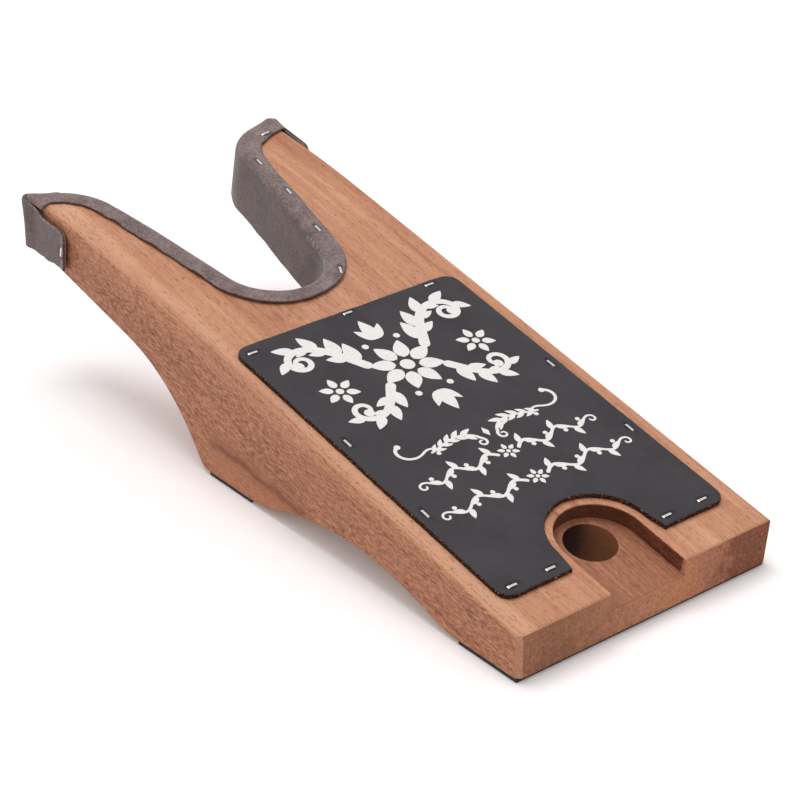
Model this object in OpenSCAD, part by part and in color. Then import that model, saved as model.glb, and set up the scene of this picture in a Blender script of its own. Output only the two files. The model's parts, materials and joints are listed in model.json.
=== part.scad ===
// Wooden boot jack: one sawn block on two rubber pads, with a suede lined heel notch and a leather tread.
// Millimetres. X is across, Y runs from the low front edge to the prong tips, Z is up from the floor.
// Plan places on the sloping tread are given as (x, s): s is measured along the slope from the front edge.

/* [Body] */
// Width of the wooden body
body_w = 121.6; // [100:0.2:160]
// Length along the tread, from the front edge to the longer prong tip
tread_len = 306; // [292:0.5:330]
// Slope of the tread above the floor, in degrees
tilt = 11.4; // [8:0.2:14]
// Height of the front top edge above the floor
front_h = 19.4; // [17:0.2:26]
// Rounding along the two long top edges
edge_r = 2.6; // [1:0.2:5]
// Rounding of the front top edge
front_r = 1.5; // [0.5:0.25:3]
// Chamfer on the left front corner
left_corner_c = 2; // [1:0.5:6]
// Chamfer on the right front corner, at the tread
right_corner_c = 1; // [0.5:0.5:4]
// Chamfer on the right front corner, at the floor
right_corner_low_c = 3.5; // [0.5:0.5:6]
// Distance along the tread at which the prongs start to curve down
drop_s = 245; // [200:1:270]
// Radius of the prongs' downward curve
drop_r = 600; // [400:10:1000]
// How far the pocket, hole and tread leather lie from the centre line, minus is to the left
mid_x = -0.8; // [-3:0.1:3]

/* [Underside] */
// Length of wood that stands on the front pad
front_foot_l = 32.5; // [26:0.5:45]
// Length of the arch between the two feet
arch_l = 119; // [100:1:122]
// Height of the arch above the feet
arch_h = 10.5; // [5:0.5:13]
// Radius where the arch runs out into a foot
arch_end_r = 40; // [20:1:60]
// Length of the flat fulcrum foot
fulcrum_l = 29.8; // [22:0.2:32]
// Rounding at the back of the fulcrum foot
fulcrum_r = 5; // [3:0.5:8]
// Steepness of the back of the fulcrum, in degrees
fulcrum_rise = 53; // [45:1:58]
// Straight stretch at the back of the fulcrum
fulcrum_straight = 9.5; // [5:0.5:12]
// Radius of the sweep from the fulcrum to the prongs
sweep_r = 75; // [60:1:85]
// Slope of the underside of the prongs, in degrees
prong_slope = 13.2; // [12:0.2:15]

/* [Heel notch] */
// How far the notch lies from the centre line, minus is to the left
notch_x = -4.3; // [-6:0.1:6]
// Bare wood between the tread leather and the trim of the notch's round end
notch_gap = 13.85; // [8:0.05:18]
// Radius of the notch's round end, in the wood
notch_r = 24.2; // [20:0.2:28]
// Flare of each side of the notch, in degrees
notch_flare = 10; // [6:0.5:13]
// Radius where the notch turns out over a prong tip
tip_r = 26; // [20:1:30]
// Slope of the prong ends across the body, in degrees
tip_slope = 17; // [10:1:24]

/* [Finger pocket] */
// Width of the pocket in the front edge
pocket_w = 35.4; // [28:0.2:44]
// Distance along the tread to the centre of the pocket's round end
pocket_s = 24.5; // [20:0.5:30]
// Depth of the pocket below the tread
pocket_d = 6.5; // [3:0.5:9]
// Radius of the hanging hole
hole_r = 10.1; // [6:0.1:13]
// Distance along the tread to the hanging hole
hole_s = 29.2; // [26:0.2:32]

/* [Tread leather] */
// Thickness of the tread leather
pad_t = 2; // [1.6:0.1:3]
// Width of the tread leather
pad_w = 106.4; // [90:0.2:108]
// Distance along the tread to the leather's front edge
pad_front = 15.6; // [12:0.2:20]
// Length of the tread leather
pad_len = 159.6; // [140:0.2:162]
// Rounding of the leather's corners
pad_corner_r = 5.5; // [3:0.5:8]
// Rim of wood left between the pocket and the leather
pocket_rim = 3.2; // [2:0.2:5]
// Extra width of the leather's cut-out at its front edge, on each side
cutout_flare = 1.5; // [0:0.25:4]

/* [Notch trim] */
// Thickness of the suede trim
trim_t = 1.6; // [1.4:0.1:2.2]
// Width of the trim that is turned over onto the tread
flange_w = 6.75; // [5:0.25:9]
// Depth of the trim below the tread
trim_drop = 26; // [22:0.5:28]
// Glue line between the trim and the sawn wood
glue_gap = 0.15; // [0.05:0.05:0.25]
// Length of the tab wrapped around the outside of each prong
tab_len = 27; // [18:0.5:36]
// Depth of the left tab's upper edge below the tread
left_tab_top = 4.5; // [3:0.5:8]
// Depth of the right tab's upper edge below the tread
right_tab_top = 1; // [0.5:0.5:8]
// Depth of the tab's lower edge below the straight tread, at its free end
tab_low = 21.5; // [19:0.5:26]
// Rounding of the tab's upper free corner
tab_r = 5; // [3:0.5:7]
// Rounding of the tab's lower free corner
tab_low_r = 1; // [0.5:0.5:3]

/* [Foot pads] */
// Thickness of the rubber foot pads
foot_t = 2; // [1.5:0.1:4]
// Inset of the foot pads from the sides of the wood
foot_side = 0.6; // [0:0.25:3]
// Inset of the front pad from the front face
foot_front = 1.5; // [0.5:0.25:4]
// Length of the front pad
front_pad_l = 30.2; // [24:0.2:30.8]
// Length of the fulcrum pad
fulcrum_pad_l = 27; // [18:0.5:28]
// Inset of the fulcrum pad from the back of its foot
fulcrum_pad_back = 0.7; // [0:0.1:3]
// Room around the hanging hole in the front pad
hole_room = 1.2; // [0.5:0.1:3]

/* [Staples] */
// Width of a staple's crown
crown_w = 5; // [4.5:0.1:7]
// Width of the staple wire
wire_w = 1; // [0.8:0.1:1.4]
// Thickness of the staple wire
wire_t = 0.8; // [0.7:0.1:1.1]
// Length of a staple's leg below its crown
leg_l = 8; // [6:0.5:10]
// Depth to which a crown is driven into the leather
crown_sink = 0.6; // [0.4:0.1:0.8]
// Clearance around a staple in its slot
slot_gap = 0.05; // [0.03:0.01:0.1]
// Distance from a staple's crown to the edge of the tread leather
staple_edge = 4; // [3:0.25:6]

/* [Hidden] */
$fn = 96;
eps = 0.01;
// Spare length by which a cutter reaches past what it cuts
past = 10;
// Depth below the tread that every cutter of the notch reaches
deep = 100;
// Facets of the large arcs under the body
fine = 240;
// Length by which neighbouring cutters overlap along a bend
overlap = 1;
// Facets of a staple's shoulders
shoulder_facets = 32;
// Flats that make up the prongs' downward curve, and the slopes of the flats that round its edge
drop_flats = 6;
edge_angles = [22.5, 45, 67.5];

// Outside of the trim, counted from the sawn wood
skin = glue_gap + trim_t;
side_x = body_w/2;

// Place along the tread of the centre of the notch's round end, behind the tread leather
pad_back = pad_front + pad_len;
notch_s = pad_back + notch_gap + flange_w + notch_r;

// Unit steps along the flared side of the notch, and square to it
flare_dir = [sin(notch_flare), cos(notch_flare)];
flare_out = [cos(notch_flare), -sin(notch_flare)];
end_dir = [cos(tip_slope), sin(tip_slope)];
end_out = [-sin(tip_slope), cos(tip_slope)];

// Centre of the arc over a prong tip, placed so that the longer prong ends at tread_len
notch_mid = [0, notch_s];
long_x = side_x + abs(notch_x);
reach = [long_x, tread_len] - notch_mid - (notch_r + tip_r)*flare_out - tip_r*end_out;
side_l = (reach[1]*cos(tip_slope) - reach[0]*sin(tip_slope))/cos(notch_flare + tip_slope);
tip_mid = notch_mid + (notch_r + tip_r)*flare_out + side_l*flare_dir;

// Unit step in a direction given in degrees
function unit(angle) = [cos(angle), sin(angle)];

// Place along the tread of a prong's end at a distance x from the notch's own centre line
function end_s(x, off) = tip_mid[1] + (tip_r + off)/cos(tip_slope) + (x - tip_mid[0])*tan(tip_slope);

// Height of the tread's own profile at a place s, zero until the prongs curve down
function tread_n(s) = s > drop_s ? sqrt(pow(drop_r, 2) - pow(s - drop_s, 2)) - drop_r : 0;

// Places along the tread where one flat of its profile meets the next
drop_end = tread_len + 2*past;
drop_places = [for (i = [0:drop_flats]) drop_s + i*(drop_end - drop_s)/drop_flats];

// Overall length, and the front face that puts the origin at the middle of the floor outline
overall_l = end_s(long_x + skin, skin)*cos(tilt) + trim_drop*sin(tilt);
front_y = -overall_l/2;

// Feet and arch, measured back from the front face
arch_end = front_foot_l + arch_l;
fulcrum_end = arch_end + fulcrum_l;
arch_turn = 2*atan(2*arch_h/arch_l);
arch_mid_r = arch_l/2/sin(arch_turn) - arch_end_r;
fulcrum_pad_end = fulcrum_end - fulcrum_pad_back;

// Steps along the outline of the fulcrum's back
rise_turn = [sin(fulcrum_rise), -cos(fulcrum_rise)];
rise_dir = [cos(fulcrum_rise), sin(fulcrum_rise)];
heel_mid = [fulcrum_end, foot_t + fulcrum_r];
rise_start = heel_mid + fulcrum_r*rise_turn;
rise_end = rise_start + fulcrum_straight*rise_dir;
sweep_mid = rise_end + sweep_r*rise_turn;
sweep_end = sweep_mid + sweep_r*[-sin(prong_slope), cos(prong_slope)];

// Cut-out of the tread leather around the pocket
cutout_r = pocket_w/2 + pocket_rim;

// Staples in the tread leather: hand-driven, so each row has its own places
// Back row as (x, extra distance from the leather's back edge)
back_staples = [[-47.5, 1.1], [0, -2], [40.6, -1.6]];
// Front row as x
front_staples = [-46.7, -29.1, 26.7, 44.3];
// Side rows as the distance from the leather's front edge
side_staples = [48.8, 93.8];
side_staple_x = pad_w/2 - staple_edge;

// Staples in the flange of the right prong, each at its own inset from the fold; the left one has none
// Round end as (direction from the notch's centre in degrees, inset, direction of the crown)
bend_staple = [-49, 4.6, 64];
// Flared side as (share of its length, inset), and the direction of their crowns
side_spots = [[0.161, 2.7], [0.58, 3.6], [0.95, 2.3]];
side_turn = 84;
// Prong tip as (direction from the centre of the tip's arc in degrees, inset, direction of the crown)
tip_staple = [109, 5.2, 7];
trim_staples = concat(
    [concat(notch_mid + (notch_r + bend_staple[1])*unit(bend_staple[0]), bend_staple[2])],
    [for (p = side_spots) concat(notch_mid + (notch_r + p[1])*flare_out + p[0]*side_l*flare_dir, side_turn)],
    [concat(tip_mid + (tip_r - tip_staple[1])*unit(tip_staple[0]), tip_staple[2])]
);
// How far the fold over a prong's outer edge reaches along the tab at its foot
fold_foot = 2*flange_w;
// Staple in a tab as (distance from the tab's free end, height above the tread)
tab_staple = [3.6, -15];

// Carries (x, s, height above the tread) into the part's frame
module on_tread() {
    translate([0, front_y, front_h]) rotate([tilt, 0, 0]) children();
}

// Carries an outline drawn as (distance from the front face, z) into a slab across the body
module across(w) {
    translate([-w/2, front_y, 0]) rotate([90, 0, 90]) linear_extrude(w) children();
}

// Everything below the tread's profile raised by h, drawn as (s, height above the tread)
module below_tread(h) {
    profile = [for (s = drop_places) [s, tread_n(s) + h]];
    polygon(concat([[-past, -deep], [-past, h]], profile, [[drop_end, -deep]]));
}

// One half of the region beyond the prong tips, outside the arc and the sloping end
module beyond_tip(off) {
    r = tip_r + off;
    turn = tip_mid - r*flare_out;
    flat = tip_mid + r*end_out;
    far = flat + body_w*end_dir;
    back = far[1] + body_w;
    difference() {
        polygon([[0, turn[1]], turn, tip_mid, flat, far, [far[0], back], [0, back]]);
        translate(tip_mid) circle(r);
    }
}

// Plan of the open notch; off moves its outline from the wood into the opening
module notch_plan(off) {
    r = notch_r - off;
    start = notch_mid + r*flare_out;
    turn = tip_mid - (tip_r + off)*flare_out;
    translate([notch_x, 0]) {
        translate(notch_mid) circle(r);
        polygon([[-start[0], start[1]], start, turn, [-turn[0], turn[1]]]);
        for (side = [0, 1]) mirror([side, 0]) translate([-eps, 0]) beyond_tip(off);
    }
}

// Side outline of the wood, drawn as (distance from the front face, z)
module side_outline() {
    far = drop_end*cos(tilt);
    top_far = front_h + far*tan(tilt);
    low_far = sweep_end[1] + (far - sweep_end[0])*tan(prong_slope);
    difference() {
        intersection() {
            polygon([
                [0, foot_t], [fulcrum_end, foot_t], rise_start, rise_end,
                sweep_end, [far, low_far], [far, top_far + past], [0, front_h + past]
            ]);
            translate([0, front_h]) rotate(tilt) below_tread(0);
        }
        arch();
        sweep();
        front_rounding();
    }
    // The rounding at the back of the fulcrum foot
    intersection() {
        translate(heel_mid) circle(fulcrum_r);
        polygon([heel_mid, [fulcrum_end, 0], [rise_start[0], 0], rise_start]);
    }
}

// The void under the body between its two feet
module arch() {
    turn_x = arch_end_r*sin(arch_turn);
    turn_z = foot_t + arch_end_r*(1 - cos(arch_turn));
    mid = front_foot_l + arch_l/2;
    difference() {
        union() {
            polygon([
                [front_foot_l, 0], [arch_end, 0], [arch_end, foot_t],
                [arch_end - turn_x, turn_z], [front_foot_l + turn_x, turn_z], [front_foot_l, foot_t]
            ]);
            intersection() {
                translate([mid, foot_t + arch_h - arch_mid_r]) circle(arch_mid_r, $fn = fine);
                translate([front_foot_l, turn_z - eps]) square([arch_l, arch_h]);
            }
        }
        for (x = [front_foot_l, arch_end]) translate([x, foot_t + arch_end_r]) circle(arch_end_r);
    }
}

// The hollow sweep between the fulcrum and the underside of the prongs, cut a touch past the straight runs
module sweep() {
    translate(sweep_mid) circle(sweep_r + 2*eps, $fn = fine);
}

// The wood taken off the front top edge
module front_rounding() {
    reach = front_r*tan(45 - tilt/2);
    mid = [front_r, front_h - reach];
    difference() {
        polygon([
            [-past, front_h - reach], mid, mid + front_r*[-sin(tilt), cos(tilt)],
            [0, front_h + past], [-past, front_h + past]
        ]);
        translate(mid) circle(front_r);
    }
}

// Carries cutters into the frame of the right edge's rounding, along a flat that starts at a place s
module along_edge(s, slope) {
    translate([side_x - edge_r, s, tread_n(s)]) rotate([slope, 0, 0]) translate([0, -overlap, -edge_r])
        children();
}

// Leaves the rounded right top edge: a true round along the straight tread, flats along the curve
module long_edge_cutter() {
    straight = drop_s + past + 2*overlap;
    along_edge(-past, 0) difference() {
        cube([edge_r + past, straight, edge_r + past]);
        translate([0, -past, 0]) rotate([-90, 0, 0]) cylinder(r = edge_r, h = straight + 2*past);
    }
    for (i = [1:drop_flats]) {
        from = drop_places[i - 1];
        run = [drop_places[i] - from, tread_n(drop_places[i]) - tread_n(from)];
        along_edge(from, atan2(run[1], run[0])) for (angle = edge_angles)
            rotate([0, -angle, 0]) translate([edge_r, 0, -past/2])
                cube([past, norm(run) + 2*overlap, past]);
    }
}

// A prism that chamfers the right front corner by one amount at the tread and another at the floor
module corner_cutter(top_c, low_c) {
    translate([side_x, front_y, 0]) rotate([90, 0, 135]) linear_extrude(2*past, center = true)
        polygon([
            [-past, -past], [low_c/sqrt(2), -past], [low_c/sqrt(2), 0],
            [top_c/sqrt(2), front_h], [top_c/sqrt(2), 2*front_h], [-past, 2*front_h]
        ]);
}

module both_corner_cutters() {
    corner_cutter(right_corner_c, right_corner_low_c);
    mirror([1, 0, 0]) corner_cutter(left_corner_c, left_corner_c);
}

// The finger pocket and the hanging hole
module pocket() {
    translate([mid_x, 0, -pocket_d]) linear_extrude(pocket_d + past) {
        translate([0, pocket_s]) circle(pocket_w/2);
        translate([-pocket_w/2, -past]) square([pocket_w, past + pocket_s]);
    }
}

module hanging_hole(room) {
    translate([mid_x, hole_s, -2*front_h]) cylinder(r = hole_r + room, h = 3*front_h);
}

// Staple outline: a crown with rounded shoulders and two pointed legs, crown at the top
module staple_outline() {
    w = crown_w/2;
    in_w = w - wire_t;
    top = wire_t - crown_sink;
    low = -crown_sink - leg_l;
    difference() {
        union() {
            translate([-w, low]) square([2*w, -crown_sink - low]);
            translate([-in_w, -crown_sink - eps]) square([2*in_w, wire_t + eps]);
            for (x = [-in_w, in_w]) translate([x, top - wire_t]) circle(wire_t, $fn = shoulder_facets);
        }
        translate([-in_w, low - eps]) square([2*in_w, leg_l + eps]);
        for (x = [-1, 1]) polygon([
            [x*in_w, low + wire_t], [x*in_w, low - eps], [x*(w + eps), low - eps], [x*w, low]
        ]);
    }
}

// Slot outline: the same staple with clearance all round, open at the top
module slot_outline(grow) {
    w = crown_w/2 + grow;
    in_w = crown_w/2 - wire_t - grow;
    low = -crown_sink - leg_l - grow;
    difference() {
        translate([-w, low]) square([2*w, wire_t - low]);
        translate([-in_w, low - eps]) square([2*in_w, leg_l + eps]);
    }
}

// A staple whose crown lies along X on a surface at z = 0; grow widens it into its slot
module staple(grow = 0) {
    wide = wire_w + 2*grow;
    translate([0, wide/2, 0]) rotate([90, 0, 0]) linear_extrude(wide) {
        if (grow > 0) slot_outline(grow);
        else staple_outline();
    }
}

// Places are (x, s, direction of the crown in degrees); height is counted from the tread's profile
module at_places(places, height) {
    for (p = places) translate([p[0], p[1], height + tread_n(p[1])]) rotate([0, 0, p[2]]) children();
}

module tread_back(grow = 0) {
    places = [for (p = back_staples) [mid_x + p[0], pad_back - staple_edge - p[1], 0]];
    on_tread() at_places(places, pad_t) staple(grow);
}

module tread_front(grow = 0) {
    places = [for (x = front_staples) [mid_x + x, pad_front + staple_edge, 0]];
    on_tread() at_places(places, pad_t) staple(grow);
}

module tread_side(side, grow = 0) {
    places = [for (d = side_staples) [mid_x + side*side_staple_x, pad_front + d, 90]];
    on_tread() at_places(places, pad_t) staple(grow);
}

module trim_right(grow = 0) {
    on_tread() translate([notch_x, 0, 0]) at_places(trim_staples, skin) staple(grow);
}

module tab_side(side, grow = 0) {
    s = end_s(side_x - side*notch_x, 0) - tab_len + tab_staple[0];
    on_tread() mirror([side < 0 ? 1 : 0, 0, 0])
        translate([side_x + skin, s, tab_staple[1]]) rotate([0, 90, 0]) staple(grow);
}

module all_slots() {
    tread_back(slot_gap);
    tread_front(slot_gap);
    trim_right(slot_gap);
    for (side = [-1, 1]) {
        tread_side(side, slot_gap);
        tab_side(side, slot_gap);
    }
}

module wood_body() {
    color("peru") difference() {
        across(body_w) side_outline();
        on_tread() {
            translate([0, 0, -deep]) linear_extrude(deep + past) notch_plan(0);
            for (side = [0, 1]) mirror([side, 0, 0]) long_edge_cutter();
            pocket();
            hanging_hole(0);
        }
        both_corner_cutters();
        all_slots();
    }
}

// The tab around the outside of the right prong, on a body whose notch lies at offset x, with its upper
// edge at a depth below the tread; drawn as (s, height above the tread)
module tab_outline(x, depth) {
    end = end_s(side_x - x, 0);
    free = end - tab_len;
    end_top = tread_n(end) - depth;
    top_mid = [free + tab_r, tread_n(free) - depth - tab_r];
    low_mid = [free + tab_low_r, -tab_low + tab_low_r];
    translate(top_mid) circle(tab_r);
    translate(low_mid) circle(tab_low_r);
    polygon([
        [free, low_mid[1]], [low_mid[0], -tab_low], [end, -trim_drop], [end + skin, -trim_drop],
        [end + skin, end_top], [top_mid[0], top_mid[1] + tab_r], [free, top_mid[1]]
    ]);
    // The fold where the tab runs up onto the tread, wider at its foot
    polygon([
        [end - fold_foot, end_top - eps], [end + skin, end_top - eps], [end + skin, past],
        [end - flange_w, past], [end - flange_w, glue_gap - edge_r]
    ]);
}

module tab(x, depth) {
    translate([side_x + glue_gap, 0, 0]) rotate([90, 0, 90]) linear_extrude(trim_t) intersection() {
        tab_outline(x, depth);
        below_tread(skin);
    }
}

// A layer of the trim over a region drawn as (s, height above the tread), whose plan reaches off into
// the opening
module trim_layer(off) {
    outer = side_x + skin;
    intersection() {
        translate([0, 0, -deep]) linear_extrude(deep + past) intersection() {
            notch_plan(off);
            translate([-outer, 0]) square([2*outer, 2*tread_len]);
        }
        translate([-outer, 0, 0]) rotate([90, 0, 90]) linear_extrude(2*outer) difference() {
            below_tread(skin);
            children();
        }
    }
}

module notch_trim() {
    color("dimgray") difference() {
        on_tread() difference() {
            union() {
                trim_layer(glue_gap) translate([-past, -deep - eps]) square([2*tread_len, deep - trim_drop]);
                trim_layer(-flange_w) below_tread(glue_gap);
                tab(notch_x, right_tab_top);
                mirror([1, 0, 0]) tab(-notch_x, left_tab_top);
            }
            translate([0, 0, -deep]) linear_extrude(deep + past) notch_plan(skin);
        }
        trim_right(slot_gap);
        for (side = [-1, 1]) tab_side(side, slot_gap);
    }
}

// Plan of the tread leather with the cut-out around the finger pocket
module tread_plan() {
    in_x = pad_w/2 - pad_corner_r;
    mouth = cutout_r + cutout_flare;
    translate([mid_x, 0]) difference() {
        union() {
            translate([-in_x, pad_front]) square([2*in_x, pad_len]);
            translate([-pad_w/2, pad_front + pad_corner_r]) square([pad_w, pad_len - 2*pad_corner_r]);
            for (x = [-in_x, in_x], s = [pad_front + pad_corner_r, pad_back - pad_corner_r])
                translate([x, s]) circle(pad_corner_r);
        }
        translate([0, pocket_s]) circle(cutout_r);
        polygon([
            [-cutout_r, pocket_s], [-mouth, pad_front], [-mouth, 0],
            [mouth, 0], [mouth, pad_front], [cutout_r, pocket_s]
        ]);
    }
}

module tread_leather() {
    color("darkslategray") difference() {
        on_tread() linear_extrude(pad_t) tread_plan();
        tread_back(slot_gap);
        tread_front(slot_gap);
        for (side = [-1, 1]) tread_side(side, slot_gap);
    }
}

// A rubber pad under a foot, from one distance behind the front face to another
module foot_pad(from, to) {
    w = body_w - 2*foot_side;
    translate([-w/2, front_y + from, 0]) cube([w, to - from, foot_t]);
}

module front_foot_pad() {
    color("black") difference() {
        foot_pad(foot_front, foot_front + front_pad_l);
        on_tread() hanging_hole(hole_room);
        both_corner_cutters();
    }
}

module fulcrum_foot_pad() {
    color("black") foot_pad(fulcrum_pad_end - fulcrum_pad_l, fulcrum_pad_end);
}

module tread_back_staples() {
    color("silver") tread_back();
}

module tread_left_staples() {
    color("silver") tread_side(-1);
}

module tread_right_staples() {
    color("silver") tread_side(1);
}

module tread_front_staples() {
    color("silver") tread_front();
}

module trim_right_staples() {
    color("silver") trim_right();
}

module left_tab_staple() {
    color("silver") tab_side(-1);
}

module right_tab_staple() {
    color("silver") tab_side(1);
}

wood_body();
notch_trim();
tread_leather();
front_foot_pad();
fulcrum_foot_pad();
tread_back_staples();
tread_left_staples();
tread_right_staples();
tread_front_staples();
trim_right_staples();
left_tab_staple();
right_tab_staple();
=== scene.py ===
import json
import math

import bpy
import numpy as np
from mathutils import Matrix, Vector
from mathutils.geometry import delaunay_2d_cdt


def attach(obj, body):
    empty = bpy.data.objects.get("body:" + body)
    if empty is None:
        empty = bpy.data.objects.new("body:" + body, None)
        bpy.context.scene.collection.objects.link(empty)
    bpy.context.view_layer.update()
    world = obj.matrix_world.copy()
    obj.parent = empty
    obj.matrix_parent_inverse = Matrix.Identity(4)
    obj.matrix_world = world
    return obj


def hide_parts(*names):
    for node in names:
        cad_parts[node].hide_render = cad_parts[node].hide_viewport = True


# Sizes in millimetres, as in the part's source
MM = 0.001
TILT = math.radians(11.4)
TREAD_LEN = 306.0
FRONT_H = 19.4
SIDE_X = 60.8
DROP_S, DROP_R, DROP_FLATS = 245.0, 600.0, 6
DROP_END = TREAD_LEN + 20.0
NOTCH_X, NOTCH_S, NOTCH_R = -4.3, 220.0, 24.2
FLARE = math.radians(10.0)
TIP_R, TIP_SLOPE = 26.0, math.radians(17.0)
SKIN, TRIM_T, FLANGE_W, TRIM_DROP = 1.75, 1.6, 6.75, 26.0
TAB_LEN = 27.0
MID_X = -0.8
POCKET_W, POCKET_S, POCKET_D, POCKET_RIM = 35.4, 24.5, 6.5, 3.2
HOLE_R, HOLE_S = 10.1, 29.2
PAD_T, PAD_W, PAD_FRONT, PAD_LEN, PAD_CORNER, MOUTH_FLARE = 2.0, 106.4, 15.6, 159.6, 5.5, 1.5
STAPLE_EDGE = 4.0
# Staples in the tread leather: (across, extra inset) at the back, places across in front, along at the sides
BACK_STAPLES = [(-47.5, 1.1), (0.0, -2.0), (40.6, -1.6)]
FRONT_STAPLES = [-46.7, -29.1, 26.7, 44.3]
SIDE_STAPLES = [48.8, 93.8]
# Trim staples: (direction, inset, turn) at bend and tip, (share, inset) between, (inset, height) in a tab
BEND_STAPLE = (-49.0, 4.6, 64.0)
SIDE_SPOTS, SIDE_TURN = [(0.161, 2.7), (0.58, 3.6), (0.95, 2.3)], 84.0
TIP_STAPLE = (109.0, 5.2, 7.0)
TAB_STAPLE = (3.6, -15.0)

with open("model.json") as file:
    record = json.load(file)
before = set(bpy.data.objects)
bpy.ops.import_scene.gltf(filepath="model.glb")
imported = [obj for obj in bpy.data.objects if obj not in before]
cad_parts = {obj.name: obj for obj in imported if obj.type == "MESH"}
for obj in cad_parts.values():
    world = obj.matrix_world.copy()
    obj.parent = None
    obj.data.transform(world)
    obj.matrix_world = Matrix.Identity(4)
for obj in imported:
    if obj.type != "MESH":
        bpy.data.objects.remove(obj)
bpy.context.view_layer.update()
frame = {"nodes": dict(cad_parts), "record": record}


def unit(angle):
    return np.array([math.cos(angle), math.sin(angle)])


FLARE_OUT = unit(-FLARE)
FLARE_DIR = unit(math.pi / 2 - FLARE)
END_OUT = unit(math.pi / 2 + TIP_SLOPE)
END_DIR = unit(TIP_SLOPE)
NOTCH_MID = np.array([0.0, NOTCH_S])

# The same steps as in the source: the arc over a prong tip, and the front face
LONG_X = SIDE_X + abs(NOTCH_X)
REACH = np.array([LONG_X, TREAD_LEN]) - NOTCH_MID - (NOTCH_R + TIP_R) * FLARE_OUT - TIP_R * END_OUT
SIDE_L = float(REACH @ END_OUT) / math.cos(FLARE + TIP_SLOPE)
TIP_MID = NOTCH_MID + (NOTCH_R + TIP_R) * FLARE_OUT + SIDE_L * FLARE_DIR


def end_s(x, off):
    """Place along the tread of a prong's end, at a distance from the notch's own centre line."""
    return TIP_MID[1] + (TIP_R + off) / math.cos(TIP_SLOPE) + (x - TIP_MID[0]) * math.tan(TIP_SLOPE)


FRONT_Y = -(end_s(LONG_X + SKIN, SKIN) * math.cos(TILT) + TRIM_DROP * math.sin(TILT)) / 2

# The camera was fitted with the front face this far from the origin; it moves along with that face
FITTED_FRONT = 152.975
CAMERA_SHIFT = (FRONT_Y + FITTED_FRONT) * MM
# Number of waves that a ripple is made of
RIPPLE_WAVES = 7


def tread_n(s):
    """Height of the sloping tread's own profile at a place along it, made of flats as in the CAD."""
    places = np.linspace(DROP_S, DROP_END, DROP_FLATS + 1)
    drop = np.sqrt(DROP_R**2 - (places - DROP_S) ** 2) - DROP_R
    return np.interp(s, places, drop)


def on_tread(x, s, n):
    """(across, along the tread, above it) in millimetres to the row frame in metres."""
    y = FRONT_Y + math.cos(TILT) * s - math.sin(TILT) * n
    z = FRONT_H + math.sin(TILT) * s + math.cos(TILT) * n
    return np.stack([x + 0 * s, y, z], -1) * MM


def ripple(x, y, wave, seed):
    """Smooth made-up noise of about -1 to 1 with features of the given length."""
    rng = np.random.RandomState(seed)
    total = np.zeros(np.broadcast(x, y).shape)
    for _ in range(RIPPLE_WAVES):
        way = rng.uniform(0, 2 * math.pi)
        k = 2 * math.pi / (wave * rng.uniform(0.7, 1.6))
        total += np.sin(k * (x * math.cos(way) + y * math.sin(way)) + rng.uniform(0, 2 * math.pi))
    return total / math.sqrt(RIPPLE_WAVES * 2.0)


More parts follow.
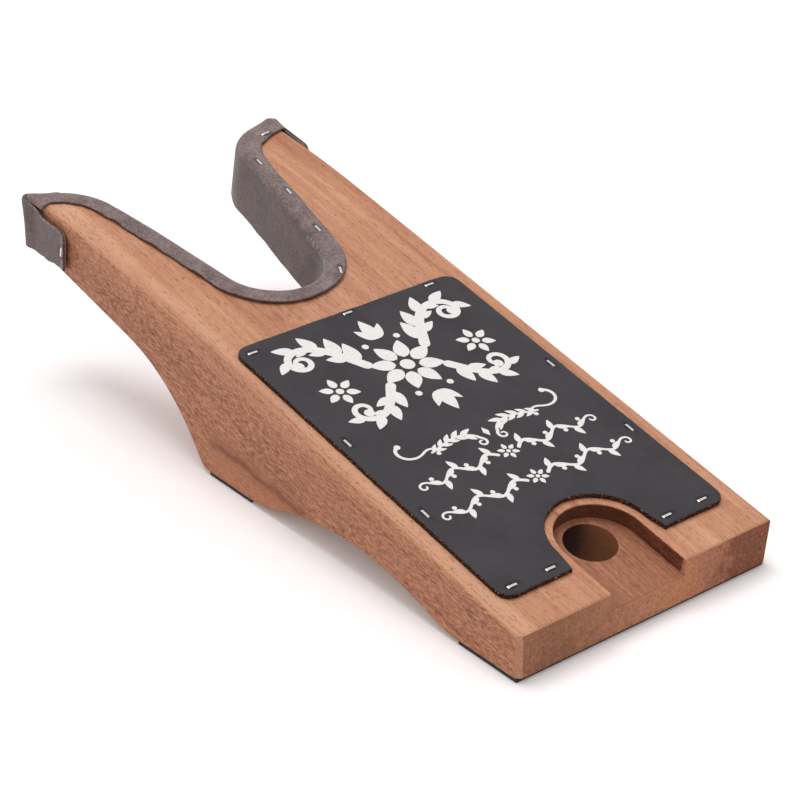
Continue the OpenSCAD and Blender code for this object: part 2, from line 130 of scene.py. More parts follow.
class Nodes:
    """Short calls that add nodes to a material or a world."""

    def __init__(self, owner):
        owner.use_nodes = True
        self.owner = owner
        self.tree = owner.node_tree
        self.tree.nodes.clear()

    def add(self, kind, inputs=None, **settings):
        node = self.tree.nodes.new("ShaderNode" + kind)
        for key, value in settings.items():
            setattr(node, key, value)
        for key, value in (inputs or {}).items():
            self.put(node.inputs[key], value)
        return node

    def put(self, socket, value):
        if isinstance(value, bpy.types.NodeSocket):
            self.tree.links.new(value, socket)
        elif isinstance(value, bpy.types.Node):
            self.tree.links.new(value.outputs[0], socket)
        else:
            socket.default_value = value

    def math(self, op, a, b=0.0):
        return self.add("Math", {0: a, 1: b}, operation=op).outputs[0]

    def remap(self, value, a, b, c=0.0, d=1.0, smooth=True):
        kind = "SMOOTHSTEP" if smooth else "LINEAR"
        node = self.add("MapRange", {0: value, 1: a, 2: b, 3: c, 4: d}, interpolation_type=kind)
        return node.outputs[0]

    def mapped(self, vector, scale=(1, 1, 1), turn=(0, 0, 0), move=(0, 0, 0)):
        return self.add("Mapping", {0: vector, 1: move, 2: turn, 3: scale}).outputs[0]

    def noise(self, vector, scale, detail, rough=0.5):
        """Noise of one scale, or of one for each direction."""
        if isinstance(scale, tuple):
            vector, scale = self.mapped(vector, scale=scale), 1.0
        inputs = {"Vector": vector, "Scale": scale, "Detail": detail, "Roughness": rough}
        return self.add("TexNoise", inputs).outputs[0]

    def blend(self, share, a, b):
        node = self.add("Mix", data_type="RGBA")
        self.put(node.inputs[0], share)
        self.put(node.inputs[6], a)
        self.put(node.inputs[7], b)
        return node.outputs[2]

    def ramp(self, value, stops):
        """Colours at places along a value, as (place, red, green, blue)."""
        node = self.add("ValToRGB", {0: value})
        band = node.color_ramp
        while len(band.elements) < len(stops):
            band.elements.new(0.5)
        for element, (place, *colour) in zip(band.elements, stops):
            element.position = place
            element.color = rgba(*colour)
        return node.outputs[0]

    def parts(self, vector):
        return self.add("SeparateXYZ", {0: vector}).outputs

    def mul(self, first, *rest):
        for value in rest:
            first = self.math("MULTIPLY", first, value)
        return first

    def mean(self, *pairs):
        """Sum of values, each times its share."""
        total = None
        for value, share in pairs:
            part = self.math("MULTIPLY", value, share)
            total = part if total is None else self.math("ADD", total, part)
        return total

    def bell(self, value, middle, reach):
        """1 at a middle value, falling smoothly to 0 at a reach to either side."""
        off = self.math("ABSOLUTE", self.math("SUBTRACT", value, middle))
        return self.remap(off, 0.0, reach, 1.0, 0.0)

    def far(self, a, b, a0, b0):
        """Distance of (a, b) from (a0, b0)."""
        da, db = self.math("SUBTRACT", a, a0), self.math("SUBTRACT", b, b0)
        return self.math("SQRT", self.math("ADD", self.mul(da, da), self.mul(db, db)))

    def attribute(self, name):
        return self.add("Attribute", attribute_name=name).outputs["Fac"]

    def normals(self):
        """The surface's own direction, in tread coordinates."""
        return self.parts(self.mapped(self.add("TexCoord").outputs["Normal"], turn=(-TILT, 0, 0)))

    def bump(self, height, strength, distance, normal=None):
        inputs = {"Height": height, "Strength": strength, "Distance": distance}
        if normal is not None:
            inputs["Normal"] = normal
        return self.add("Bump", inputs).outputs[0]

    def finish(self, colour, rough, normal=None, **plain):
        shader = self.add("BsdfPrincipled", {"Base Color": colour, "Roughness": rough})
        if normal is not None:
            self.put(shader.inputs["Normal"], normal)
        for key, value in plain.items():
            shader.inputs[key.replace("_", " ")].default_value = value
        self.add("OutputMaterial", {0: shader})
        return self.owner


def rgba(*colour):
    """A colour written as sRGB 0 to 255, as the shader takes it."""
    shares = [c / 255.0 for c in colour]
    return (*(c / 12.92 if c <= 0.04045 else ((c + 0.055) / 1.055) ** 2.4 for c in shares), 1)


def textured(name):
    """A new material's nodes, and its place as (across, along the tread, above it) in millimetres."""
    m = Nodes(bpy.data.materials.new(name))
    place = m.add("TexCoord").outputs["Object"]
    c, s = math.cos(TILT), math.sin(TILT)
    y0, z0 = FRONT_Y, FRONT_H
    move = (0, -(c * y0 + s * z0), -(-s * y0 + c * z0))
    return m, m.mapped(place, scale=(1000, 1000, 1000), turn=(-TILT, 0, 0), move=move)


def wood():
    m, at = textured("wood")
    x, s, n = m.parts(at)
    nx, ns, nn = m.normals()
    is_side = m.remap(m.math("ABSOLUTE", nx), 0.62, 0.97)
    is_end = m.mul(m.remap(m.mul(ns, -1.0), 0.6, 0.9), m.remap(s, 2.0, 1.0))
    from_mid = m.math("SUBTRACT", x, MID_X)

    # Coordinates bent a little, so that no grain line is straight
    push = m.add("TexNoise", {"Vector": m.mapped(at, scale=(0.03, 0.006, 0.03)), "Scale": 1.0,
                              "Detail": 1.0}).outputs["Color"]
    bent = m.add("VectorMath", {0: at, 1: m.mapped(push, scale=(10, 0, 10))},
                 operation="ADD").outputs[0]

    def grain(across, along, detail, rough):
        return m.noise(bent, (across, along, across), detail, rough)

    # Layers of the grain, from coarse to fine
    broad = grain(0.045, 0.006, 3.0, 0.55)
    bands = grain(0.22, 0.006, 3.0, 0.6)
    streaks = grain(0.85, 0.018, 3.0, 0.65)
    hairs = grain(1.9, 0.05, 2.0, 0.6)
    flecks = grain(1.9, 0.36, 3.0, 0.66)
    pores = grain(2.2, 0.30, 2.0, 0.55)
    mottle = m.noise(bent, (0.10, 0.05, 0.10), 3.0, 0.6)

    # The sloping top, with a painted highlight along its left edge where the rounding catches light, a
    # darker zone at the notch and redder prongs
    tone = m.mean((broad, 0.30), (bands, 0.24), (streaks, 0.22), (hairs, 0.12), (flecks, 0.12))
    colour = m.ramp(tone, [(0.40, 162, 105, 75), (0.47, 190, 133, 101), (0.53, 203, 146, 113),
                           (0.61, 220, 168, 135)])
    edge_highlight = m.mul(m.bell(x, -55.5, 5.5), 0.55)
    colour = m.blend(edge_highlight, colour, rgba(219, 168, 136))
    knot = m.mul(m.remap(m.far(x, m.mul(s, 1.2), -8.0, 226.0), 8.0, 34.0, 1.0, 0.0),
                 m.remap(m.mean((mottle, 0.6), (streaks, 0.4)), 0.44, 0.60), 0.75)
    colour = m.blend(knot, colour, rgba(146, 90, 63))
    red = m.mul(m.remap(s, 182, 235), m.remap(mottle, 0.42, 0.62), 0.28)
    colour = m.blend(red, colour, rgba(182, 116, 84))

    # The long sides, with a painted highlight in a band below the rounded edge, a smooth foot and one dark
    # streak
    side_tone = m.mean((flecks, 0.58), (streaks, 0.18), (bands, 0.14), (mottle, 0.10))
    side = m.ramp(side_tone, [(0.40, 128, 74, 51), (0.47, 171, 111, 81), (0.53, 197, 135, 101),
                              (0.61, 215, 155, 120)])
    heart = m.mul(m.bell(n, -15.0, 12.0), m.remap(s, 40, 110, 0.5, 1.0),
                  m.remap(mottle, 0.38, 0.58), 0.26)
    side = m.blend(heart, side, rgba(146, 88, 62))
    rounded_edge_highlight = m.mul(m.bell(n, -3.8, 3.6), m.remap(s, 215, 150, 0.3, 1.0),
                     m.remap(s, 60, 120, 0.5, 1.0), 0.42)
    side = m.blend(rounded_edge_highlight, side, rgba(214, 158, 124))
    smooth_foot = m.mul(m.remap(n, -27, -34), m.remap(s, 112, 130), m.remap(s, 178, 168), 0.6)
    side = m.blend(smooth_foot, side, rgba(197, 129, 94))
    streak_line = m.math("SUBTRACT", n, m.math("ADD", m.mul(s, -0.117), -18.4))
    streak_line = m.math("ADD", streak_line, m.mul(m.math("SUBTRACT", mottle, 0.5), 9.0))
    streak_core = m.mul(m.bell(streak_line, 0.0, 2.2), 0.55)
    streak_halo = m.mul(m.bell(streak_line, 1.5, 9.0), 0.45)
    dark_streak = m.mul(m.math("ADD", streak_core, streak_halo),
                        m.remap(s, 104, 122), m.remap(s, 182, 166), 0.75)
    side = m.blend(dark_streak, side, rgba(116, 62, 40))
    colour = m.blend(is_side, colour, side)

    # The end grain of the front face
    patch = m.noise(at, (0.12, 0.05, 0.12), 3.0, 0.6)
    across = m.math("ADD", m.remap(x, -SIDE_X, SIDE_X, 0, 1, smooth=False),
                    m.mul(m.math("SUBTRACT", patch, 0.5), 0.35))
    end = m.ramp(across, [(0.0, 156, 102, 74), (0.14, 148, 97, 68), (0.34, 172, 115, 84),
                          (0.50, 186, 126, 93), (0.60, 196, 128, 87), (0.70, 184, 120, 89),
                          (0.80, 167, 105, 77), (0.86, 132, 72, 43)])
    spots = m.noise(at, (0.85, 0.2, 0.85), 3.0, 0.7)
    spot_share = m.mul(m.remap(spots, 0.46, 0.66), m.remap(x, 25, 50, 0.42, 0.75))
    end = m.blend(spot_share, end, rgba(98, 52, 29))
    end = m.blend(m.mul(m.remap(spots, 0.46, 0.34), 0.3), end, rgba(202, 144, 110))
    colour = m.blend(is_end, colour, end)

    # Pores on the long faces, and the worn line along the left edge
    pore_share = m.mul(m.remap(pores, 0.57, 0.68), m.remap(is_side, 0, 1, 0.55, 0.6),
                       m.remap(is_end, 0, 1, 1, 0))
    colour = m.blend(pore_share, colour, rgba(116, 66, 46))

    edge_line = m.bell(x, -(SIDE_X - 1.9), 0.45)
    dots = m.remap(m.noise(at, (0, 0.9, 0), 4.0, 0.75), 0.42, 0.60)
    edge_share = m.mul(edge_line, dots, m.remap(n, -2.0, -1.2), m.remap(s, 230, 190), 0.6)
    colour = m.blend(edge_share, colour, rgba(104, 58, 38))

    # The finger pocket: its floor, with darker colours as painted shade of the recess, then its walls
    pocket_half = POCKET_W / 2
    pocket_end = POCKET_S + pocket_half
    in_plan = m.mul(m.remap(m.math("ABSOLUTE", from_mid), pocket_half + 0.6, pocket_half + 0.3),
                    m.remap(s, pocket_end + 1.2, pocket_end + 0.8))
    floor_share = m.mul(in_plan, m.remap(n, 0.6 - POCKET_D, 0.2 - POCKET_D), m.remap(nn, 0.8, 0.95))
    lines = grain(1.5, 0.03, 3.0, 0.7)
    floor_tone = m.mean((lines, 0.4), (streaks, 0.2), (flecks, 0.4))
    pocket = m.ramp(floor_tone, [(0.40, 130, 77, 52), (0.47, 153, 98, 70),
                                 (0.54, 168, 112, 83), (0.62, 182, 127, 97)])
    scored = m.mul(m.remap(from_mid, -7.0, -17.0), m.remap(lines, 0.50, 0.60), m.remap(s, 24, 14), 0.6)
    pocket = m.blend(scored, pocket, rgba(92, 50, 31))
    colour = m.blend(floor_share, colour, pocket)
    wall_share = m.mul(in_plan, m.remap(n, -0.25, -0.6), m.remap(nn, 0.6, 0.3), m.remap(s, 0.6, 1.2))
    wall = m.ramp(floor_tone, [(0.42, 84, 45, 27), (0.52, 118, 70, 46), (0.60, 144, 91, 63)])
    wall = m.blend(m.remap(s, 16.0, 34.0, 0.0, 0.55), wall, rgba(84, 46, 28))
    colour = m.blend(wall_share, colour, wall)
    # The hanging hole's wall, dark with painted shade on its left and lighter with painted light on its
    # right
    hole_share = m.mul(m.remap(m.far(x, s, MID_X, HOLE_S), HOLE_R + 0.5, HOLE_R + 0.2),
                       m.remap(n, 0.1 - POCKET_D, -0.3 - POCKET_D))
    bore_shading = m.ramp(m.mean((m.remap(from_mid, -HOLE_R, HOLE_R, smooth=False), 0.8), (spots, 0.2)),
                  [(0.34, 30, 13, 6), (0.64, 66, 33, 18), (0.92, 176, 112, 76)])
    colour = m.blend(hole_share, colour, bore_shading)

    height = m.mean((streaks, 0.6), (pores, -0.9), (spots, 0.3))
    soft = m.add("Bevel", {"Radius": 0.0006}, samples=6).outputs[0]
    normal = m.bump(height, 0.4, 0.0004, soft)
    rough = m.remap(streaks, 0.3, 0.7, 0.52, 0.66)
    return m.finish(colour, rough, normal, Specular_IOR_Level=0.3)


def suede():
    m, at = textured("suede")
    nn = m.normals()[2]
    patches = m.noise(at, 0.09, 3.0, 0.65)
    grains = m.noise(at, 0.8, 3.0, 0.7)
    fine = m.noise(at, 1.7, 2.0, 0.65)
    tone = m.mean((patches, 0.36), (grains, 0.34), (fine, 0.30))
    colour = m.ramp(tone, [(0.40, 88, 71, 69), (0.5, 119, 99, 97), (0.60, 147, 127, 123)])
    colour = m.blend(m.mul(m.remap(fine, 0.60, 0.70), 0.45), colour, rgba(172, 158, 152))
    # Painted shade: faces that do not face up, such as the walls inside the notch, are darkened
    colour = m.blend(m.remap(nn, 0.15, 0.9, 0.40, 0.0), colour, rgba(68, 48, 45))
    fold = m.mul(m.attribute("wear"), m.remap(grains, 0.40, 0.62), 0.7)
    colour = m.blend(fold, colour, rgba(176, 160, 154))
    rim = m.mul(m.attribute("worn"), m.remap(grains, 0.30, 0.55), 0.7)
    colour = m.blend(rim, colour, rgba(182, 166, 160))
    # Painted shadow: the right flange's free edge is darkened along its last rows, standing in for the
    # shadow line beside it
    colour = m.blend(m.mul(m.attribute("edge"), 0.75), colour, rgba(34, 22, 20))
    # Staple dimples: partly the dark puncture of each leg, partly painted shade
    colour = m.blend(m.mul(m.attribute("hole"), 0.92), colour, rgba(20, 15, 15))
    normal = m.bump(m.mean((grains, 1.0), (fine, 0.8)), 0.6, 0.0005)
    return m.finish(colour, 0.95, normal, Sheen_Weight=0.35, Sheen_Roughness=0.6, Specular_IOR_Level=0.12)


def grained(name, scale, coarse, stops, rough, strength, distance, **plain):
    """A material with one noise in its colour and its relief."""
    m, at = textured(name)
    grain = m.noise(at, scale, 3.0, coarse)
    return m.finish(m.ramp(grain, stops), rough, m.bump(grain, strength, distance), **plain)


def suede_cut():
    stops = [(0.36, 66, 52, 49), (0.52, 100, 84, 79), (0.66, 138, 120, 113)]
    return grained("suede_cut_edge", 1.8, 0.7, stops, 0.95, 0.7, 0.0005, Specular_IOR_Level=0.1)


def leather_top():
    m, at = textured("tread_leather_top")
    clouds = m.noise(at, 0.05, 3.0, 0.6)
    grain = m.noise(at, 1.5, 2.0, 0.6)
    cells = m.add("TexVoronoi", {"Vector": at, "Scale": 1.1}, feature="DISTANCE_TO_EDGE").outputs[0]
    tone = m.mean((clouds, 0.6), (grain, 0.4))
    colour = m.ramp(tone, [(0.38, 54, 51, 55), (0.62, 65, 62, 66)])
    # Staple dimples: partly the dark puncture of each leg, partly painted shade
    colour = m.blend(m.mul(m.attribute("hole"), 0.92), colour, rgba(8, 7, 8))
    normal = m.bump(m.mean((cells, 0.6), (grain, 1.0)), 0.14, 0.0003)
    rough = m.remap(grain, 0.3, 0.7, 0.58, 0.68)
    return m.finish(colour, rough, normal, Specular_IOR_Level=0.22)


def leather_edge():
    m, at = textured("tread_leather_edge")
    fibres = m.noise(at, 1.5, 3.0, 0.7)
    specks = m.noise(at, 1.0, 2.0, 0.7)
    colour = m.ramp(fibres, [(0.36, 24, 14, 10), (0.52, 62, 36, 26), (0.68, 124, 82, 58)])
    colour = m.blend(m.mul(m.remap(specks, 0.60, 0.68), 0.7), colour, rgba(196, 152, 118))
    return m.finish(colour, 0.9, m.bump(fibres, 0.8, 0.0008), Specular_IOR_Level=0.12)


def ink():
    return grained("white_ink", 1.3, 0.6, [(0.25, 212, 209, 205), (0.5, 236, 234, 231)], 0.6, 0.1, 0.0002)


def rubber():
    return grained("foot_rubber", 1.8, 0.6, [(0.3, 30, 30, 32), (0.7, 48, 47, 49)], 0.75, 0.3, 0.0004)


def steel():
    m, at = textured("staple_steel")
    brushed = m.noise(at, (2, 2, 2), 2.0)
    colour = m.ramp(brushed, [(0.3, 212, 205, 205), (0.7, 238, 231, 231)])
    rough = m.remap(brushed, 0.3, 0.7, 0.22, 0.34)
    return m.finish(colour, rough, m.bump(brushed, 0.1, 0.0002), Metallic=1.0)


def floor_material():
    m = Nodes(bpy.data.materials.new("floor"))
    ray = m.add("LightPath").outputs
    seen = m.math("MAXIMUM", ray["Is Camera Ray"],
                  m.math("MAXIMUM", ray["Is Glossy Ray"], ray["Is Transmission Ray"]))
    plain = m.add("BsdfDiffuse", {"Color": (0.86, 0.86, 0.86, 1)})
    seen_floor = m.add("BsdfDiffuse", {"Color": (1.0, 0.985, 0.995, 1)})
    glow = m.add("Emission", {"Color": (1, 1, 1, 1), "Strength": 0.08})
    white = m.add("AddShader", {0: seen_floor, 1: glow})
    both = m.add("MixShader", {0: seen, 1: plain, 2: white})
    m.add("OutputMaterial", {0: both})
    return m.owner


def new_piece(name, points, faces, materials):
    mesh = bpy.data.meshes.new(name)
    mesh.from_pydata([tuple(p) for p in points], [], [tuple(f) for f in faces])
    mesh.update()
    piece = bpy.data.objects.new(name, mesh)
    bpy.context.scene.collection.objects.link(piece)
    for material in materials:
        mesh.materials.append(material)
    return piece


def apply_modifiers(piece):
    """Turns a piece's modifiers into plain mesh."""
    seen = piece.evaluated_get(bpy.context.evaluated_depsgraph_get())
    made = bpy.data.meshes.new_from_object(seen)
    old = piece.data
    piece.modifiers.clear()
    piece.data = made
    bpy.data.meshes.remove(old)


def set_points(piece, points):
    piece.data.vertices.foreach_set("co", np.asarray(points, float).ravel())
    piece.data.update()


def paint(piece, name, values):
    layer = piece.data.attributes.new(name, "FLOAT", "POINT")
    layer.data.foreach_set("value", np.asarray(values, np.float32))


def smooth(piece):
    piece.data.polygons.foreach_set("use_smooth", [True] * len(piece.data.polygons))


def to_tread(piece):
    """A piece's points as (across, along the tread, above it) in millimetres."""
    flat = np.zeros(len(piece.data.vertices) * 3)
    piece.data.vertices.foreach_get("co", flat)
    p = flat.reshape(-1, 3) / MM - np.array([0, FRONT_Y, FRONT_H])
    c, s = math.cos(TILT), math.sin(TILT)
    return p[:, 0], c * p[:, 1] + s * p[:, 2], -s * p[:, 1] + c * p[:, 2]


# Suede lining of the notch: radius of its folds, and radii and lengths of its outline
FOLD_R = 3.4
OUT_R = TIP_R + SKIN
IN_R = NOTCH_R - SKIN
BEND_L = IN_R * (math.pi / 2 - FLARE)
TIP_L = OUT_R * (math.pi / 2 - FLARE - TIP_SLOPE)
TAB_REACH = TAB_LEN + end_s(SKIN, SKIN) - end_s(0, 0)
# Where the rows of its mesh lie, as shares of the wall's depth and of the flange's width
WALL_H = np.array([1, .93, .86, .79, .72, .65, .58, .51, .44, .37, .30, .235, .175, .125, .085, .055, .027,
                   0])
FLANGE_H = np.array([.06, .12, .18, .25, .33, .41, .49, .57, .65, .72, .79, .86, .93, 1.0])
# Spacing of its columns along the fold; distances to the corner where the flange ends and rounding begins
COLUMN_STEP, CORNER_GAP, NEAR_CORNER = 0.95, 1.4, 12
# How much wider the flange is than in the part's source, on the right prong and on the left
FLANGE_EXTRA = {1: -0.25, -1: 0.35}
# Places along the flared side where the flange's free edge stands up, as (place, half length, height)
LIFTS = {1: [(15.0, 6.0, 0.40), (30.0, 12.0, 0.25)],
         -1: [(9.2, 2.8, 0.75), (33.8, 3.2, 0.65), (55.6, 2.8, 0.75), (64.6, 2.6, 0.65)]}
# Upper edge of each tab, as depth below the outer skin at distances from the corner; and its foot, as height
TAB_TOP = {1: ([0, 3, 6, 11, 20, 26.5, 28.4, 29.4], [0, 0.2, 0.7, 1.6, 2.5, 3.2, 5.5, 9.0]),
           -1: ([0, 0.8, 3, 6.4, 8.5, 11.5, 19, 23, 26, 28.2, 29.4],
                [0.4, 1.6, 3.3, 4.4, 5.3, 6.6, 6.5, 6.3, 6.7, 9.8, 15.0])}
TAB_FOOT = ([0, 3, 6.9, 17, 29.4], [-28.0, -27.0, -26.1, -24.9, -21.6])
# How far the folded corner bulges, at heights above the tread, and how far around it that reaches
EARS = {1: ([-28, -12, -5, -1.7], [1.1, 1.1, 1.1, 1.1]),
        -1: ([-28, -16.6, -9, -6, -3.5, -1.2], [2.2, 3.3, 4.4, 5.0, 4.6, 3.0])}
EAR_R = {1: 5.2, -1: 3.8}
# Share of that bulge across, along the tread and up
EAR_WAY = (0.595, 0.803, 0.16)
# How far the lining stands proud of a tight fit, at the bend, on the flared side and over the prong's end
LOOSE_BEND = 0.35
LOOSE_SIDE = {1: 0.8, -1: 0.45}
LOOSE_END = {1: 2.5, -1: 0.0}
# How much wider the flange gets around the tip
TIP_WIDER = {1: 0.9, -1: 0.0}
# How much thinner the flange is at its free edge
EDGE_THIN = 0.5
# How far the flange is wrapped over the outer corner: sideways, standing off, and down
WRAP = {1: (3.0, 0.2, 0.0), -1: (6.0, 0.3, 1.5)}


def ease(value, low, high):
    """0 below one value and 1 above another, smooth between."""
    t = np.clip((value - low) / (high - low), 0, 1)
    return t * t * (3 - 2 * t)


class Half:
    """One half of the lining, in the notch's own frame with the prong on the +X side."""

    def __init__(self, side):
        self.side = side
        self.out_x = SIDE_X + SKIN - side * NOTCH_X
        self.end_from = TIP_MID + (OUT_R + LOOSE_END[side]) * END_OUT
        self.end_l = (self.out_x - self.end_from[0]) / END_DIR[0]
        self.corner = self.end_from + self.end_l * END_DIR

    def path(self, t):
        """Place on the outer outline and the way to the opening, from the middle of the bend outward."""
        loose = self.loose(t)
        if t < BEND_L:
            way = unit(-math.pi / 2 + t / IN_R)
            return NOTCH_MID + (IN_R - loose) * way, -way
        t -= BEND_L
        if t < SIDE_L:
            return NOTCH_MID + (IN_R - loose) * FLARE_OUT + t * FLARE_DIR, -FLARE_OUT
        t -= SIDE_L
        if t < TIP_L:
            way = unit(math.pi - FLARE - t / OUT_R)
            return TIP_MID + (OUT_R + loose) * way, way
        return self.end_from + (t - TIP_L) * END_DIR, END_OUT

    def length(self):
        return BEND_L + SIDE_L + TIP_L + self.end_l

    def loose(self, t):
        """How far the lining stands proud of a tight fit, at a length along the fold."""
        near_side = LOOSE_BEND + (LOOSE_SIDE[self.side] - LOOSE_BEND) * ease(t, 0.4 * BEND_L, 1.6 * BEND_L)
        past = ease(t, BEND_L + 0.8 * SIDE_L, BEND_L + SIDE_L + TIP_L)
        return near_side + (LOOSE_END[self.side] - near_side) * past

    def lift(self, t):
        """How far the flange's free edge stands up from the wood, at a length along the fold."""
        along = t - BEND_L
        total = 0.42 * (1 - ease(along, -8.0, 3.0))
        for place, reach, height in LIFTS[self.side]:
            total += height * math.exp(-((along - place) / reach) ** 2)
        return total

    def stand_off(self, d, below):
        """How far the tab stands off the wood, at a distance from the corner and below its upper edge."""
        edge = 1 - ease(below, 2.0, 9.0)
        if self.side > 0:
            return (0.6 * ease(d, 0.0, 4.0) + 0.5 * math.exp(-(((d - 4) / 4) ** 2))) * edge
        return 0.4 * ease(d, 3.0, 8.0) * edge + 1.4 * ease(d, 25.5, TAB_REACH)


def rounded_near_corner(half, plan, a):
    """A point on the sharp outer skin near a prong's outer corner, moved onto its rounded form."""
    b = -(plan - half.end_from) @ END_OUT
    c = half.out_x - plan[0]
    r = FOLD_R
    onto_end = plan - END_OUT * (r - b)
    onto_side = plan - np.array([r - c, 0.0])
    if b >= r and c >= r:
        q = plan
    elif half.out_x - onto_end[0] >= r and b < r:
        q = onto_end
    elif -(onto_side - half.end_from) @ END_OUT >= r and c < r:
        q = onto_side
    else:
        q = half.corner + np.linalg.solve(np.array([-END_OUT, [-1.0, 0.0]]), np.array([r, r]))
    qa = max(a, r)
    away = np.array([plan[0] - q[0], plan[1] - q[1], qa - a])
    away = away / max(np.linalg.norm(away), 1e-9) * r
    return q[0] + away[0], q[1] + away[1], qa - away[2]


def folded(place, way, d, a):
    """The same away from the corners, at a distance in from the outer skin's edge and a depth below it."""
    q = place - way * max(d, FOLD_R)
    qa = max(a, FOLD_R)
    away = np.array([max(FOLD_R - d, 0.0), qa - a])
    away *= FOLD_R / np.linalg.norm(away)
    return (*(q + way * away[0]), qa - away[1])


def build_half(half, seed):
    """Columns of (x, s, depth below the outer skin) from the middle of the bend to the tab's free end."""
    return notch_columns(half, seed) + tab_columns(half, seed)


def notch_columns(half, seed):
    """The columns of the wall and the flange, up to the prong's outer corner."""
    length = half.length()
    side = half.side
    columns = []
    steps = int(round((length - CORNER_GAP) / COLUMN_STEP))
    for t in np.linspace(0, length - CORNER_GAP, steps + 1):
        place, way = half.path(t)
        to_corner = length - t
        w = 1 - ease(to_corner, 0.0, 11.0)
        inward = -(1 - w) * way + w * np.array([0.0, -1.0])
        inward /= np.linalg.norm(inward)
        wide = (FLANGE_W + SKIN + FLANGE_EXTRA[side] + half.loose(t)) / -(inward @ way)
        wide += TIP_WIDER[side] * ease(t, BEND_L + SIDE_L - 6, BEND_L + SIDE_L + 6)
        wide += 0.3 * ripple(t, 0.0, 13, seed) + 0.12 * ripple(t, 3.0, 3.5, seed + 1)
        low = TRIM_DROP + SKIN + tread_n(place[1]) + 1.2 * ease(to_corner, 30.0, 4.0)
        low += 0.28 * ripple(t, 7.0, 11, seed + 2) + 0.10 * ripple(t, 9.0, 3.0, seed + 3)
        near = to_corner < NEAR_CORNER
        column = []
        for h in WALL_H:
            a = low * h
            column.append(rounded_near_corner(half, place, a) if near else folded(place, way, 0.0, a))
        for h in FLANGE_H:
            d = wide * h
            up = half.lift(t) * ease(h, 0.45, 1.0) - EDGE_THIN * ease(h, 0.6, 1.0)
            if near:
                wrap = (1 - ease(to_corner, CORNER_GAP, 6.5)) * ease(h, 0.0, 0.25)
                over, off, down = WRAP[side]
                plan = place + inward * d + np.array([over * wrap, 0.0])
                px, ps, pa = rounded_near_corner(half, plan, 0.0)
                column.append((px + off * wrap, ps, pa - up * (1 - wrap) + down * wrap))
            else:
                px, ps, pa = folded(place, way, d, 0.0)
                column.append((px, ps, pa - up))
        columns.append(column)
    return columns


def tab_columns(half, seed):
    """The columns of the wall alone, around the prong's outer corner and along the tab."""
    side = half.side
    columns = []
    ways = [("end", d) for d in (1.0, 0.6, 0.25)]
    ways += [("side", d) for d in (0.0, 0.35, 0.8, 1.4, 2.1, 2.9, 3.8)]
    ways += [("side", d) for d in np.linspace(4.8, TAB_REACH, 27)]
    for kind, d in ways:
        if kind == "end":
            place = half.corner - END_DIR * d
            top = 0.0
            low = SKIN + tread_n(place[1]) - TAB_FOOT[1][0]
        else:
            place = np.array([half.out_x, half.corner[1] - d])
            top = np.interp(d, *TAB_TOP[side])
            top += 0.2 * ripple(d, 1.0, 9, seed + 5) * min(d / 10, 1)
            low = SKIN + tread_n(place[1]) - np.interp(d, *TAB_FOOT)
            low += 0.35 * ripple(d, 5.0, 6, seed + 6) * min(d / 6, 1)
            low += 0.18 * ripple(d, 2.0, 2.4, seed + 7) * min(d / 6, 1)
        column = []
        for h in WALL_H:
            px, ps, pa = rounded_near_corner(half, place, top + (low - top) * h)
            out = half.stand_off(d, (low - top) * h) if kind == "side" else 0.0
            column.append((px + out, ps, pa))
        columns.append(column)
    return columns


def suede_lining():
    """The whole lining: both halves joined at the middle of the bend, thickened, then shaped."""
    points, faces = [], []
    thick, dark, worn = [], [], []
    for half, seed in ((Half(1), 11), (Half(-1), 23)):
        columns = []
        for i, column in enumerate(build_half(half, seed)):
            if i == 0 and half.side < 0:
                columns.append(middle)
                continue
            columns.append(range(len(points), len(points) + len(column)))
            for j, (x, s, a) in enumerate(column):
                h = FLANGE_H[j - len(WALL_H)] if j >= len(WALL_H) else 0.0
                points.append((NOTCH_X + half.side * x, s, tread_n(s) + SKIN - a))
                thick.append(1 - EDGE_THIN / TRIM_T * ease(h, 0.6, 1.0))
                # Painted shadow along the free edge of the right flange only
                dark.append(ease(h, 0.90, 1.0) * (half.side > 0))
                on_tab = len(column) == len(WALL_H) and x > half.out_x - 0.2
                free_end = ease(half.corner[1] - s, TAB_REACH - 1, TAB_REACH)
                rim = max(1 - (a - column[-1][2]) / 0.7, free_end, 0.0)
                worn.append(rim if on_tab else 0.0)
        middle = columns[0]
        for here, there in zip(columns, columns[1:]):
            for j in range(min(len(here), len(there)) - 1):
                quad = (here[j], there[j], there[j + 1], here[j + 1])
                faces.append(quad if half.side > 0 else quad[::-1])
    p = np.array(points)
    world = on_tread(p[:, 0], p[:, 1], p[:, 2])
    piece = new_piece("notch_suede", world, faces, [suede(), suede_cut()])
    mesh = piece.data
    if sum(f.normal.z for f in mesh.polygons if abs(f.normal.z) > 0.9) < 0:
        mesh.flip_normals()
    paint(piece, "edge", dark)
    paint(piece, "worn", worn)
    group = piece.vertex_groups.new(name="thick")
    for i, share in enumerate(thick):
        group.add([i], share, "REPLACE")
    shell = piece.modifiers.new("thickness", "SOLIDIFY")
    shell.thickness = TRIM_T * MM
    shell.vertex_group = "thick"
    shell.offset = -1
    shell.use_even_offset = False
    shell.use_rim = True
    shell.material_offset_rim = 1
    shell.edge_crease_rim = 0.7
    finer = piece.modifiers.new("finer", "SUBSURF")
    finer.levels = finer.render_levels = 1
    apply_modifiers(piece)
    smooth(piece)
    shape_suede(piece)
    return piece


